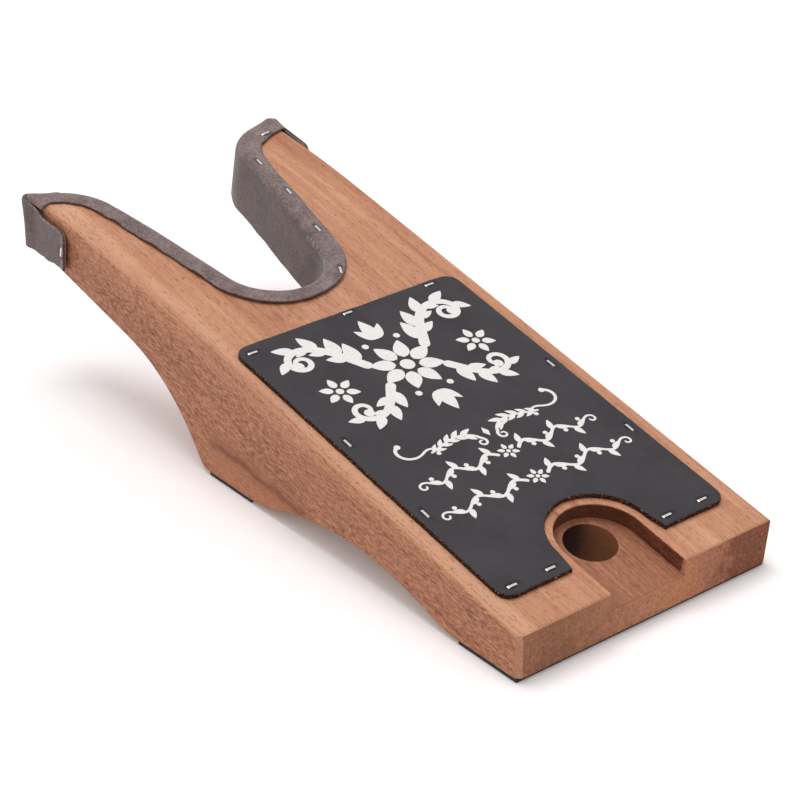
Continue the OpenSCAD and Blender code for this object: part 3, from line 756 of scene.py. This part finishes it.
def staple_spots():
    """(x, s, direction of the crown) of every staple in the right prong's flange, in tread coordinates."""
    local = [(NOTCH_MID + (NOTCH_R + BEND_STAPLE[1]) * unit(math.radians(BEND_STAPLE[0])), BEND_STAPLE[2])]
    for share, inset in SIDE_SPOTS:
        local.append((NOTCH_MID + (NOTCH_R + inset) * FLARE_OUT + share * SIDE_L * FLARE_DIR, SIDE_TURN))
    local.append((TIP_MID + (TIP_R - TIP_STAPLE[1]) * unit(math.radians(TIP_STAPLE[0])), TIP_STAPLE[2]))
    return [(NOTCH_X + place[0], place[1], math.radians(turn)) for place, turn in local]


def dimple(x, s, spots, half_l, half_w, ahead=0.0):
    """How far each point lies in a staple's dimple, 1 at its middle; ahead shifts it along the crown."""
    total = np.zeros(len(x))
    for sx, ss, angle in spots:
        along = (x - sx) * math.cos(angle) + (s - ss) * math.sin(angle) - ahead
        beside = -(x - sx) * math.sin(angle) + (s - ss) * math.cos(angle)
        total = np.maximum(total, np.exp(-((along / half_l) ** 4) - (beside / half_w) ** 2))
    return total


def shape_suede(piece):
    """Dimples at the staples with painted shade in them, slow waves, the bulging corners and the worn fold.
    """
    x, s, n = to_tread(piece)
    over = n - tread_n(s)
    outer = over > 0.8
    spots = staple_spots()
    press = dimple(x, s, spots, 2.0, 1.25)
    swell = dimple(x, s, spots, 4.2, 1.8)
    n = n + outer * (0.46 * swell - 0.95 * press + 0.10 * ripple(x, s, 24, 5))
    n = np.where(outer, np.maximum(n, tread_n(s) + 0.7), n)
    tab_hole = np.zeros(len(x))
    for side in (1, -1):
        place = end_s(SIDE_X - side * NOTCH_X, 0) - TAB_LEN + TAB_STAPLE[0]
        outside = side * x > SIDE_X + SKIN - 0.5
        rise = n - TAB_STAPLE[1]
        press = outside * np.exp(-(((s - place) / 1.2) ** 2) - (rise / 2.5) ** 4)
        # Dark paint at the tab's staple: partly its puncture, partly painted shade, shifted 0.5 mm along the
        # tread
        hole = outside * np.exp(-(((s - place - 0.5) / 0.9) ** 2) - (rise / 3.3) ** 4)
        tab_hole = np.maximum(tab_hole, hole)
        x = x - side * 0.5 * press
        corner = Half(side).corner
        cx, cs = NOTCH_X + side * corner[0], corner[1]
        bulge = np.interp(n, *EARS[side]) / math.exp(-((2.3 / EAR_R[side]) ** 2))
        near = bulge * np.exp(-((x - cx) ** 2 + (s - cs) ** 2) / EAR_R[side] ** 2)
        x = x + side * EAR_WAY[0] * near
        s = s + EAR_WAY[1] * near
        n = n + EAR_WAY[2] * near * (over > -4)
    set_points(piece, on_tread(x, s, n))
    # Dark paint in each staple's dimple: partly the puncture of its leg, partly painted shade, shifted along
    # the crown toward the dimple's far end
    hole = dimple(x, s, spots, 3.2, 0.9, 0.5) * outer
    paint(piece, "hole", np.maximum(hole, tab_hole))
    bend = np.hypot(x - NOTCH_X, s - NOTCH_S)
    at_bend = (bend < NOTCH_R + 1) * (s < NOTCH_S + 6) * (x > NOTCH_X - 4)
    paint(piece, "wear", np.exp(-(((over - SKIN + 2.6) / 1.1) ** 2)) * at_bend)


# Spacing of the points on the leather's outline
LOOP_STEP = 0.8
# Rings around the leather's cut edge, from the bottom up: (outward, height, roughness, seed)
PAD_RINGS = [(-0.1, 0.04, 0.10, 1), (0.0, 0.55, 0.16, 2), (0.02, 1.1, 0.16, 3),
             (0.0, 1.6, 0.12, 4), (-0.12, 1.88, 0.06, 6), (-0.42, 2.0, 0.0, 5)]
# Spacing of the mesh on its face, across and along
GRID_X, GRID_S = 1.7, 1.5
# Half size of the finer mesh around a staple, along and across the crown, and its spacing
FINE_L, FINE_W, FINE_STEP_L, FINE_STEP_W = 5.4, 3.15, 0.45, 0.35
# How far the ink stands above the leather's face and reaches into it
INK_UP, INK_DOWN = 0.09, 0.06


def tread_outline():
    """The leather's outline, anticlockwise from the cut-out's right mouth, with evenly spaced points."""
    back = PAD_FRONT + PAD_LEN
    half, r = PAD_W / 2, PAD_CORNER
    cut_r = POCKET_W / 2 + POCKET_RIM
    mouth = cut_r + MOUTH_FLARE
    line = [(mouth, PAD_FRONT)]

    def arc(cx, cy, radius, a0, a1):
        count = max(int(abs(a1 - a0) * radius / LOOP_STEP), 4)
        for i in range(count + 1):
            a = a0 + (a1 - a0) * i / count
            line.append((cx + radius * math.cos(a), cy + radius * math.sin(a)))

    q = math.pi / 2
    arc(half - r, PAD_FRONT + r, r, -q, 0)
    arc(half - r, back - r, r, 0, q)
    arc(-half + r, back - r, r, q, 2 * q)
    arc(-half + r, PAD_FRONT + r, r, 2 * q, 3 * q)
    line.append((-mouth, PAD_FRONT))
    arc(0, POCKET_S, cut_r, 2 * q, 0)
    closed = np.array(line)
    out = []
    for a, b in zip(closed, np.roll(closed, -1, 0)):
        steps = max(int(np.linalg.norm(b - a) / LOOP_STEP), 1)
        for k in range(steps):
            out.append(a + (b - a) * k / steps)
    out = np.array(out)
    keep = [i for i in range(len(out)) if np.linalg.norm(out[i] - out[i - 1]) > 0.05]
    return out[keep]


def outward(loop):
    """The way out of an anticlockwise outline, at each of its points."""
    ahead = np.roll(loop, -1, 0) - np.roll(loop, 1, 0)
    way = np.stack([ahead[:, 1], -ahead[:, 0]], 1)
    return way / np.linalg.norm(way, axis=1)[:, None]


def pad_spots():
    back = PAD_FRONT + PAD_LEN
    spots = [(MID_X + x, back - STAPLE_EDGE - d, 0.0) for x, d in BACK_STAPLES]
    spots += [(MID_X + x, PAD_FRONT + STAPLE_EDGE, 0.0) for x in FRONT_STAPLES]
    for side in (-1, 1):
        x = MID_X + side * (PAD_W / 2 - STAPLE_EDGE)
        spots += [(x, PAD_FRONT + d, math.pi / 2) for d in SIDE_STAPLES]
    return spots


def pad_height(x, s):
    """Height of the leather's face above the tread, with the dimples pressed in by the staples."""
    press = dimple(x, s, pad_spots(), 2.15, 1.3)
    swell = dimple(x, s, pad_spots(), 4.4, 2.1)
    return PAD_T + 0.06 * ripple(x, s, 38, 3) + 0.42 * swell - 0.95 * press


def inside(loop, points):
    """Which points lie inside a closed outline."""
    x, y = points[:, 0], points[:, 1]
    hit = np.zeros(len(points), bool)
    for (ax, ay), (bx, by) in zip(loop, np.roll(loop, -1, 0)):
        cross = (ay > y) != (by > y)
        with np.errstate(divide="ignore", invalid="ignore"):
            at = (bx - ax) * (y - ay) / (by - ay) + ax
        hit ^= cross & (x < at)
    return hit


def far_from(loop, points, limit):
    """Which points lie further than a limit from every point of an outline."""
    far = np.full(len(points), 1e9)
    for q in loop:
        far = np.minimum(far, np.hypot(points[:, 0] - q[0], points[:, 1] - q[1]))
    return far > limit


def face_points(top):
    """Points for the mesh of the leather's face, inside an outline and closer together at the staples."""
    lo, hi = top.min(0), top.max(0)
    gx, gy = np.meshgrid(np.arange(lo[0], hi[0], GRID_X), np.arange(lo[1], hi[1], GRID_S))
    gx[1::2] += GRID_X / 2
    grid = np.column_stack([gx.ravel(), gy.ravel()])
    extra = []
    for sx, ss, angle in pad_spots():
        u, v = np.meshgrid(np.arange(-FINE_L, FINE_L + 0.1, FINE_STEP_L),
                           np.arange(-FINE_W, FINE_W + 0.05, FINE_STEP_W))
        c, s = math.cos(angle), math.sin(angle)
        extra.append(np.column_stack([(sx + c * u - s * v).ravel(), (ss + s * u + c * v).ravel()]))
        away = grid - np.array([sx, ss])
        along, beside = away @ np.array([c, s]), away @ np.array([-s, c])
        grid = grid[(np.abs(along) > FINE_L + 0.6) | (np.abs(beside) > FINE_W + 0.65)]
    grid = np.vstack([grid, *extra])
    grid = grid[inside(top, grid)]
    return grid[far_from(top, grid, 0.55)]


def tread_pad():
    """The tread leather: rings around its cut edge, a fine mesh on its face and a plain underside."""
    loop = tread_outline()
    loop[:, 0] += MID_X
    way = outward(loop)
    run = np.arange(len(loop)) * LOOP_STEP
    wavy = 0.10 * ripple(run, 0 * run, 17, 41)
    rings = []
    for grow, n, rough, seed in PAD_RINGS:
        ring = loop + way * (grow + wavy + rough * ripple(run, 0 * run, 2.4, 60 + seed))[:, None]
        on_face = n > PAD_T - 0.2
        height = pad_height(ring[:, 0], ring[:, 1]) - (PAD_T - n) if on_face else np.full(len(ring), n)
        rings.append(np.column_stack([ring, height]))
    count = len(loop)
    faces, kinds = [], []
    for k in range(len(rings) - 1):
        for i in range(count):
            j = (i + 1) % count
            faces.append((k * count + i, k * count + j, (k + 1) * count + j, (k + 1) * count + i))
            kinds.append(1 if k < len(rings) - 2 else 0)
    top = rings[-1][:, :2]
    grid = face_points(top)
    flat = [Vector(p) for p in np.vstack([top, grid])]
    found, _, face_tris, origins_of, _, _ = delaunay_2d_cdt(flat, [], [list(range(count))], 1, 1e-5)
    verts = np.array([tuple(v) for v in found])
    base = (len(rings) - 1) * count
    renumber = {}
    cloud = list(np.vstack(rings))
    heights = pad_height(verts[:, 0], verts[:, 1])
    for i in range(len(verts)):
        origins = [o for o in origins_of[i] if o < count]
        if origins:
            renumber[i] = base + origins[0]
        else:
            renumber[i] = len(cloud)
            cloud.append((*verts[i], heights[i]))
    for f in face_tris:
        faces.append(tuple(renumber[i] for i in f))
        kinds.append(0)
    under = [Vector(p) for p in rings[0][:, :2]]
    _, _, low_tris, low_origins, _, _ = delaunay_2d_cdt(under, [], [list(range(count))], 1, 1e-5)
    for f in low_tris:
        faces.append(tuple(low_origins[i][0] for i in f)[::-1])
        kinds.append(1)
    p = np.array(cloud)
    world = on_tread(p[:, 0], p[:, 1], p[:, 2])
    piece = new_piece("tread_pad", world, faces, [leather_top(), leather_edge()])
    piece.data.polygons.foreach_set("material_index", kinds)
    smooth(piece)
    # Dark paint at each staple: partly the puncture of its legs, partly painted shade, shifted 0.35 mm
    # across and toward the back
    hole = dimple(p[:, 0] - 0.35, p[:, 1] - 0.35, pad_spots(), 3.4, 0.95) * (p[:, 2] > 1.0)
    paint(piece, "hole", hole)
    return piece


# How much the leaves along a stem bend, as a share of their length
LEAF_BOW = 0.12


def ribbon(line, first_w, last_w):
    """Outline of a stroke with round ends along a line, from one width to another."""
    widths = np.linspace(first_w, last_w, len(line))
    ahead = np.gradient(line, axis=0)
    ahead /= np.linalg.norm(ahead, axis=1)[:, None]
    way = np.stack([-ahead[:, 1], ahead[:, 0]], 1)
    left = line + way * widths[:, None] / 2
    right = line - way * widths[:, None] / 2
    caps = []
    for tip, toward, w in ((line[-1], ahead[-1], widths[-1]), (line[0], -ahead[0], widths[0])):
        start = math.atan2(toward[1], toward[0])
        caps.append([tip + w / 2 * unit(start + a) for a in np.linspace(-1.2, 1.2, 7)])
    return np.vstack([right, caps[0], left[::-1], caps[1]])


def curl(start, heading, length, bend0, bend1, steps, power=1.0):
    """A line whose bend, in radians per millimetre, changes from one value to another along it."""
    here, way = np.array(start, float), heading
    out = [here.copy()]
    step = length / steps
    for i in range(steps):
        way += (bend0 + (bend1 - bend0) * ((i + 0.5) / steps) ** power) * step
        here = here + step * unit(way)
        out.append(here.copy())
    return np.array(out)


def leaf(root, heading, length, wide, bow=0.0):
    """A pointed leaf; bow bends its middle line to one side."""
    t = np.linspace(0, 1, 15)
    half = wide / 2 * np.sin(math.pi * t**0.75) ** 0.85
    ahead, aside = unit(heading), unit(heading + math.pi / 2)
    middle = np.array(root) + np.outer(length * t, ahead) + np.outer(bow * length * t**2, aside)
    edge = middle + np.outer(half, aside)
    back = middle - np.outer(half, aside)
    return np.vstack([edge[:-1], back[:0:-1]])


def disc(centre, r, count=20):
    return np.array([np.array(centre) + r * unit(2 * math.pi * i / count) for i in range(count)])


def mirrored(shapes):
    """The shapes and their mirror images about the leather's middle line."""
    return shapes + [shape * np.array([-1.0, 1.0]) for shape in shapes]


def spray(line, side, spots, slant, size0, size1, broad):
    """Leaves along one side of a stem, from size0 at its first spot to size1 at its last."""
    leaves = []
    for i, share in enumerate(spots):
        k = int(share * (len(line) - 2))
        ahead = line[k + 1] - line[k]
        way = math.atan2(ahead[1], ahead[0]) + side * math.radians(slant)
        size = size0 + (size1 - size0) * i / max(len(spots) - 1, 1)
        leaves.append(leaf(line[k], way, size, size * broad, -side * LEAF_BOW))
    return leaves


def rosette(x, y, r, petals, turn):
    """A flower with pointed petals around a disc."""
    shapes = [disc((x, y), r * 0.2, 24)]
    for i in range(petals):
        way = turn + 2 * math.pi * i / petals
        shapes.append(leaf(np.array([x, y]) + unit(way) * r * 0.3, way, r * 0.7, r * 0.42))
    return shapes


def scroll(start, heading, length, bend0, bend1, wide, flip):
    """A tapering spiral stem that ends in a ball."""
    line = curl(start, math.radians(heading), length, flip * bend0, flip * bend1, 70, 1.6)
    return line, [ribbon(line, wide, wide * 0.42), disc(line[-1], wide * 0.52)]


def upper_ornament():
    """A flower between leafy scrolls: a plain tooled-leather pattern."""
    mid = 136.0
    shapes = rosette(0, mid, 15.0, 8, math.radians(22.5))
    half = []
    line, drawn = scroll((14.0, mid + 7.0), 58, 62.0, 0.012, -0.40, 4.4, 1)
    half += drawn
    half += spray(line, 1, (0.06, 0.20, 0.34, 0.48, 0.62), 44, 12.5, 8.0, 0.5)
    half += spray(line, -1, (0.14, 0.28, 0.42), 46, 8.5, 6.0, 0.5)
    line, drawn = scroll((14.0, mid - 7.5), -50, 44.0, 0.012, -0.42, 4.0, -1)
    half += drawn
    half += spray(line, -1, (0.10, 0.28, 0.46, 0.62), 44, 10.5, 7.0, 0.5)
    half += spray(line, 1, (0.18, 0.38), 46, 8.0, 5.5, 0.5)
    shapes += mirrored(half)
    shapes += mirrored(rosette(33.0, mid - 1.0, 8.0, 6, math.radians(30)))
    for sign in (1, -1):
        far = 18.0
        base = np.array([0.0, mid + sign * far])
        up = math.pi / 2 * sign
        shapes.append(leaf(base, up, 13.0, 5.8))
        for turn, bow in ((48, -0.2), (-48, 0.2)):
            shapes.append(leaf(base + unit(up) * 0.5, up + math.radians(turn), 9.5, 4.0, bow))
        shapes += mirrored([disc((7.6, mid + sign * (far - 1.6)), 1.4)])
    return shapes


def divider(y):
    """A scroll divider with leaf sprays."""
    half = []
    hook = curl((28.5, y + 0.4), math.radians(-28), 16.5, 0.10, 0.30, 40)
    half.append(ribbon(hook, 0.9, 1.5))
    half.append(disc(hook[-1], 1.25))
    tail = curl((28.5, y + 0.4), math.radians(152), 8.5, 0.05, 0.62, 30)
    half.append(ribbon(tail, 1.0, 0.8))
    half.append(disc(tail[-1], 0.95))
    stem = curl((25.5, y - 0.9), math.radians(172), 23.5, -0.05, 0.16, 50)
    half.append(ribbon(stem, 0.9, 1.3))
    half += spray(stem, -1, (0.06, 0.22, 0.38, 0.54, 0.70), 40, 4.4, 5.6, 0.40)
    half += spray(stem, 1, (0.12, 0.28, 0.44, 0.60, 0.76), 40, 4.2, 5.2, 0.40)
    ring = curl(stem[-1], math.radians(215), 9.5, 0.30, 0.95, 36)
    half.append(ribbon(ring, 1.2, 0.7))
    lozenge = np.array([(1.3, y - 1.0), (0, y + 1.7), (-1.3, y - 1.0), (0, y - 3.7)])
    return mirrored(half) + [lozenge]


def vine(y, reach, waves, size):
    """A running vine from the middle outward, with a small flower at the middle."""
    half = []
    x = np.linspace(5.0, reach, 90)
    phase = (x - 5.0) / (reach - 5.0) * waves * 2 * math.pi
    line = np.column_stack([x, y + 2.3 * np.sin(phase)])
    half.append(ribbon(line, 1.5, 1.0))
    for i in range(int(waves * 2)):
        share = (i + 0.28) / (waves * 2)
        side = 1 if i % 2 else -1
        half += spray(line, -side, (share,), 50, size, size, 0.46)
        half += spray(line, side, (share + 0.30 / waves / 2,), 38, size * 0.9, size, 0.46)
        k = int((i + 0.78) / (waves * 2) * (len(x) - 1))
        half.append(disc(line[k] + np.array([0.0, side * 3.0]), 0.95))
    end = curl(line[-1], math.atan2(*(line[-1] - line[-2])[::-1]), 10.0, -0.10, -0.95, 30)
    half.append(ribbon(end, 1.0, 0.8))
    return mirrored(half) + rosette(0, y, 4.4, 6, math.radians(30))


def lower_ornament():
    """Two rows of running vine."""
    return vine(76.5, 37.0, 2.0, 5.4) + vine(60.0, 40.0, 2.0, 5.4)


def printed(shapes):
    """One thin layer of ink over the pad, made of the union of the drawn shapes."""
    flat, groups = [], []
    for shape in shapes:
        x, s = shape[:, 0], shape[:, 1]
        area = 0.5 * np.sum(x * np.roll(s, -1) - np.roll(x, -1) * s)
        shape = shape if area > 0 else shape[::-1]
        groups.append(list(range(len(flat), len(flat) + len(shape))))
        flat += [Vector(p) for p in shape]
    verts, _, tris, _, _, origin = delaunay_2d_cdt(flat, [], groups, 0, 1e-4)
    verts = np.array([tuple(v) for v in verts])
    tris = [tuple(t) for t, o in zip(tris, origin) if len(o)]
    used = sorted({i for t in tris for i in t})
    renumber = {v: i for i, v in enumerate(used)}
    tris = [tuple(renumber[i] for i in t) for t in tris]
    p = verts[used]
    x, s = p[:, 0] + MID_X, p[:, 1]
    face = pad_height(x, s)
    top = on_tread(x, s, face + INK_UP)
    low = on_tread(x, s, face - INK_DOWN)
    count = len(p)
    faces = list(tris)
    edges = dict.fromkeys(edge for t in tris for edge in zip(t, t[1:] + t[:1]))
    for a, b in edges:
        if (b, a) not in edges:
            faces.append((b, a, a + count, b + count))
    faces += [tuple(i + count for i in t[::-1]) for t in tris]
    return new_piece("tread_print", np.vstack([top, low]), faces, [ink()])


def camera():
    """The camera, as fitted to the photo."""
    data = bpy.data.cameras.new("camera")
    data.lens = 112.0
    data.sensor_width = 36.0
    data.sensor_fit = "HORIZONTAL"
    data.clip_start, data.clip_end = 0.05, 20
    cam = bpy.data.objects.new("camera", data)
    bpy.context.scene.collection.objects.link(cam)
    right, up, back = (0.7777, -0.6287, 0.0), (0.3013, 0.3728, 0.8777), (-0.5517, -0.6826, 0.4793)
    turn = Matrix((right, up, back)).transposed().to_4x4()
    cam.matrix_world = Matrix.Translation((-0.5256, -0.66481 + CAMERA_SHIFT, 0.48677)) @ turn
    bpy.context.scene.camera = cam


# Brightness of the sky at the horizon and overhead, and of the one lamp
SKY_LOW, SKY_TOP, KEY = 0.35, 0.97, 1.0
# Half the side of the floor, in metres
FLOOR_HALF = 6.0


def light_and_floor():
    """A sky that is brighter overhead, one soft lamp and a white floor."""
    scene = bpy.context.scene
    scene.view_settings.view_transform = "Standard"
    world = Nodes(bpy.data.worlds.new("studio"))
    scene.world = world.owner
    height = world.parts(world.add("TexCoord").outputs["Generated"])["Z"]
    brightness = world.remap(height, 0.0, 1.0, SKY_LOW, SKY_TOP, smooth=False)
    sky = world.add("Background", {0: (1.0, 0.985, 0.988, 1), 1: brightness})
    white = world.add("Background", {1: 1.0})
    ray = world.add("LightPath").outputs
    seen = world.math("MAXIMUM", ray["Is Camera Ray"], ray["Is Glossy Ray"])
    both = world.add("MixShader", {0: seen, 1: sky, 2: white})
    world.add("OutputWorld", {0: both})

    key = bpy.data.lights.new("key", "SUN")
    key.energy = KEY
    key.angle = math.radians(30)
    key.color = (1.0, 0.988, 0.976)
    lamp = bpy.data.objects.new("key", key)
    scene.collection.objects.link(lamp)
    toward = Vector((0.0, 0.27, 1.0)).normalized()
    lamp.rotation_mode = "QUATERNION"
    lamp.rotation_quaternion = toward.to_track_quat("Z", "Y")

    r = FLOOR_HALF
    floor = new_piece("floor", [(-r, -r, 0), (r, -r, 0), (r, r, 0), (-r, r, 0)], [(0, 1, 2, 3)],
                      [floor_material()])


camera()
light_and_floor()

looks = {"wood": wood(), "foot_rubber": rubber(), "staple_steel": steel()}
slot_of = {row["node"]: row["material_slot"] for row in frame["record"]["subparts"]}
for name, node in frame["nodes"].items():
    look = looks.get(slot_of[name])
    if look:
        node.data.materials.clear()
        node.data.materials.append(look)

lining = suede_lining()
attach(lining, "root")
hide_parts("notch_trim")

pad = tread_pad()
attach(pad, "root")
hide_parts("tread_leather")

ornament = printed(upper_ornament() + divider(90.5) + lower_ornament())
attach(ornament, "root")
